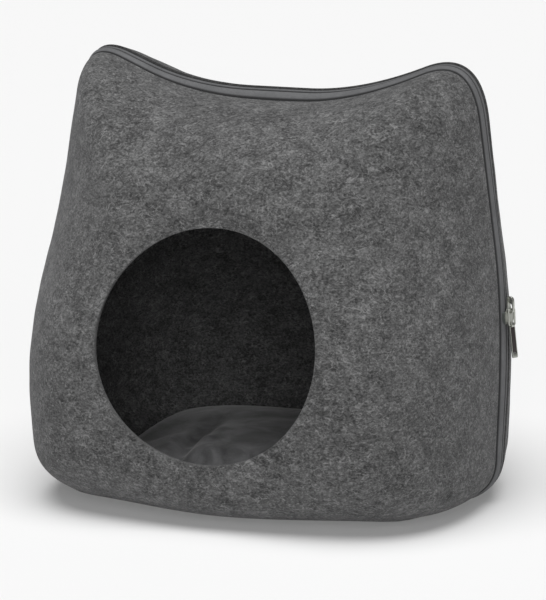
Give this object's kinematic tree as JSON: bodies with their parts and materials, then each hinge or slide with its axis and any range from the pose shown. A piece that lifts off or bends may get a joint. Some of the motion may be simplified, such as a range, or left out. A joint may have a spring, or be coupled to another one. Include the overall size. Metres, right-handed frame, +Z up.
{
  "type": "felt cat cave",
  "caption": "Free-standing moulded felt cat cave with ear-shaped top corners, a round entrance in front, a zip all round its middle and a loose cushion inside.",
  "frame": {"origin": "on the floor, under the middle of the object's box, in the upright plane of the zip", "axes": "+Z up, the entrance faces -Y, +X to the right of someone who looks into the entrance"},
  "size_m": [0.3888, 0.3356, 0.348],
  "materials": {
    "grey_felt": "matt mottled grey needle felt with a short fibre fuzz",
    "zip_tape": "smooth, tightly woven, bluish grey",
    "zip_coil": "dark nylon with a slight shine",
    "slider_metal": "nickel plate with a satin shine",
    "pull_insert": "dark brown-black, smooth and soft",
    "cushion_cloth": "soft dark grey brushed cloth"
  },
  "bodies": {
    "root": {"front_shell": "grey_felt", "back_shell": "grey_felt", "tape_front": "zip_tape", "tape_back": "zip_tape", "zip_coil": "zip_coil", "zip_slider": "slider_metal", "pull_link": "slider_metal", "pull_frame": "slider_metal", "pull_insert": "pull_insert", "cushion": "cushion_cloth"}
  },
  "joints": []
}
